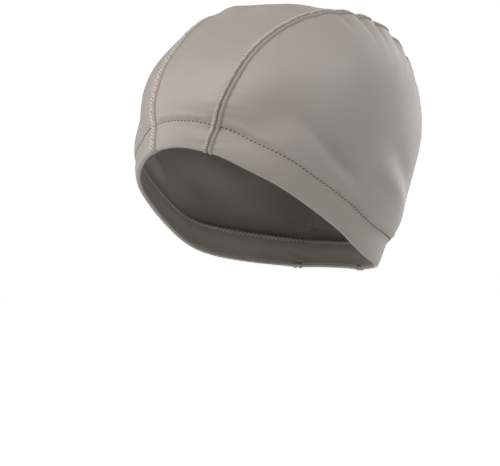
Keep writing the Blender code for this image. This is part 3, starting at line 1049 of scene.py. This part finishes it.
def two_colours(tree, factor, first, second):
    """Colour that goes from the first to the second with a factor."""
    mix = add_node(tree, "ShaderNodeMix", -600, 350, data_type="RGBA")
    mix.inputs["A"].default_value = first
    mix.inputs["B"].default_value = second
    tree.links.new(factor, mix.inputs["Factor"])
    return mix.outputs["Result"]


def add_relief(tree, shader, effect, distance):
    relief = add_node(tree, "ShaderNodeBump", -300, -250)
    relief.inputs["Strength"].default_value = 1.0
    relief.inputs["Distance"].default_value = distance
    tree.links.new(effect.outputs["Height"], relief.inputs["Height"])
    tree.links.new(relief.outputs["Normal"], shader.inputs["Normal"])


def cloth_finish(cloth, knit):
    """Knit with a coating, in one colour below the hem's stitches and another above them."""
    uses = (("UV", "Place"), ("Object", "Body"))
    material, tree, shader, effect = new_finish(cloth.name, knit, *uses)
    effect.inputs["Pitch"].default_value = cloth.pitch
    share = add_node(tree, "ShaderNodeAttribute", -1100, 350, attribute_name="hem_share")
    mask = add_node(tree, "ShaderNodeMapRange", -850, 350, interpolation_type="SMOOTHSTEP")
    mask.inputs["From Min"].default_value = HEM_EDGE[0]
    mask.inputs["From Max"].default_value = HEM_EDGE[1]
    tree.links.new(share.outputs["Fac"], mask.inputs["Value"])
    colour = two_colours(tree, mask.outputs["Result"], cloth.hem_colour, cloth.colour)
    shade = tinted(tree, colour, effect.outputs["Tone"], cloth.swing, -300, 300)
    tree.links.new(shade, shader.inputs["Base Color"])
    rough = math_node(tree, "MULTIPLY_ADD", -400, 0, effect.outputs["Tone"], ROUGHNESS_SWING,
                      cloth.roughness)
    tree.links.new(rough, shader.inputs["Roughness"])
    shader.inputs["Sheen Weight"].default_value = cloth.sheen
    shader.inputs["Sheen Roughness"].default_value = CLOTH_SHEEN_ROUGHNESS
    shader.inputs["Specular IOR Level"].default_value = CLOTH_SPECULAR
    add_relief(tree, shader, effect, cloth.bump)
    return material


def thread_finish(thread, twist):
    """Twisted thread, or a band of cloth with shade painted down in its groove."""
    material, tree, shader, effect = new_finish(thread.name, twist, ("Object", "Body"))
    # Painted shade: the band's colour is darkened where its groove attribute marks the groove
    # between the ridges
    groove = add_node(tree, "ShaderNodeAttribute", -850, 350, attribute_name="groove")
    painted_groove_shade = [part * GROOVE_PAINTED_SHADE for part in thread.colour[:3]] + [1.0]
    colour = two_colours(tree, groove.outputs["Fac"], thread.colour, painted_groove_shade)
    shade = tinted(tree, colour, effect.outputs["Tone"], thread.swing, -300, 300)
    tree.links.new(shade, shader.inputs["Base Color"])
    shader.inputs["Roughness"].default_value = thread.roughness
    shader.inputs["Sheen Weight"].default_value = THREAD_SHEEN
    add_relief(tree, shader, effect, thread.bump)
    return material


# Stage


def aim(thing, azimuth, elevation, distance):
    """Links a camera or lamp, which looks at the camera's target from a direction."""
    bpy.context.scene.collection.objects.link(thing)
    turn = math.radians(azimuth)
    lift = math.radians(elevation)
    back = Vector((math.sin(turn) * math.cos(lift), -math.cos(turn) * math.cos(lift),
                   math.sin(lift)))
    thing.location = Vector(CAMERA_TARGET) + back * distance
    thing.rotation_euler = back.to_track_quat("Z", "Y").to_euler()


def add_camera():
    data = bpy.data.cameras.new("camera")
    data.sensor_width = SENSOR
    data.sensor_fit = "HORIZONTAL"
    data.lens = FOCAL_PIXELS * SENSOR / PHOTO_WIDTH
    data.clip_start, data.clip_end = CAMERA_CLIP
    camera = bpy.data.objects.new("camera", data)
    aim(camera, CAMERA_AZIMUTH, CAMERA_ELEVATION, CAMERA_DISTANCE)
    bpy.context.scene.camera = camera


def add_lamp(lamp):
    data = bpy.data.lights.new(lamp.name, "AREA")
    data.size = lamp.size
    data.energy = lamp.power
    light = bpy.data.objects.new(lamp.name, data)
    aim(light, lamp.azimuth, lamp.elevation, lamp.distance)


def raise_edge(wider, higher):
    """Extrudes the selected face's outline outward and up, and leaves the new edge selected."""
    bpy.ops.mesh.select_mode(type="EDGE")
    bpy.ops.mesh.region_to_loop()
    bpy.ops.mesh.extrude_edges_move(TRANSFORM_OT_translate={"value": (0.0, 0.0, higher)})
    bpy.ops.transform.resize(value=(wider, wider, 1.0))


def add_floor():
    """Pale round floor whose edge sweeps up into a seamless backdrop on every side."""
    deselect_all()
    bpy.ops.mesh.primitive_circle_add(vertices=FLOOR_SIDES, radius=FLOOR_RADIUS,
                                      fill_type="NGON", location=(0.0, 0.0, FLOOR_HEIGHT))
    floor = bpy.context.object
    floor.name = "floor"
    bpy.ops.object.transform_apply(location=True, rotation=True, scale=True)
    bpy.ops.object.mode_set(mode="EDIT")
    bpy.ops.mesh.select_all(action="SELECT")
    radius, height = FLOOR_RADIUS, 0.0
    for step in range(1, SWEEP_STEPS + 1):
        turn = math.radians(90) * step / SWEEP_STEPS
        wider = FLOOR_RADIUS + SWEEP_RADIUS * math.sin(turn)
        higher = SWEEP_RADIUS * (1 - math.cos(turn))
        raise_edge(wider / radius, higher - height)
        radius, height = wider, higher
    raise_edge(1.0, BACKDROP_HEIGHT)
    bpy.ops.object.mode_set(mode="OBJECT")
    floor.data.shade_smooth()
    material = bpy.data.materials.new("Pale floor")
    material.use_nodes = True
    tree = material.node_tree
    shader = tree.nodes["Principled BSDF"]
    shader.inputs["Base Color"].default_value = FLOOR_COLOUR
    shader.inputs["Roughness"].default_value = FLOOR_ROUGHNESS
    shader.inputs["Emission Color"].default_value = FLOOR_COLOUR
    path = add_node(tree, "ShaderNodeLightPath", -600, -200)
    glow = math_node(tree, "MULTIPLY", -300, -200, path.outputs["Is Camera Ray"], FLOOR_GLOW)
    tree.links.new(glow, shader.inputs["Emission Strength"])
    floor.data.materials.append(material)


def set_world():
    world = bpy.data.worlds.new("Studio")
    bpy.context.scene.world = world
    world.use_nodes = True
    background = world.node_tree.nodes["Background"]
    background.inputs["Color"].default_value = WORLD_COLOUR
    background.inputs["Strength"].default_value = WORLD_STRENGTH


bpy.context.scene.view_settings.view_transform = "Standard"

add_camera()
add_floor()
set_world()
for lamp in LAMPS:
    add_lamp(lamp)

fine_knit = knit_group()
coated = cloth_finish(COATED, fine_knit)
knit_back = cloth_finish(KNIT_BACK, fine_knit)
thread_twist = thread_group()
allowance = thread_finish(ALLOWANCE, thread_twist)
pale_thread = thread_finish(PALE_THREAD, thread_twist)
dark_thread = thread_finish(DARK_THREAD, thread_twist)
hem_thread_and_shade = thread_finish(HEM_SEWING_AND_SHADE, thread_twist)

centre_cloth = make_centre(coated, knit_back)
side_left, side_right = make_sides(coated, knit_back)
hem_ply = make_hem_ply(coated, knit_back)
bands = list(make_bands(allowance))
threads = make_seam_threads(pale_thread, dark_thread)
hem_stitches = make_hem_stitches(hem_thread_and_shade)
cover_stitches = make_cover_stitches(pale_thread)
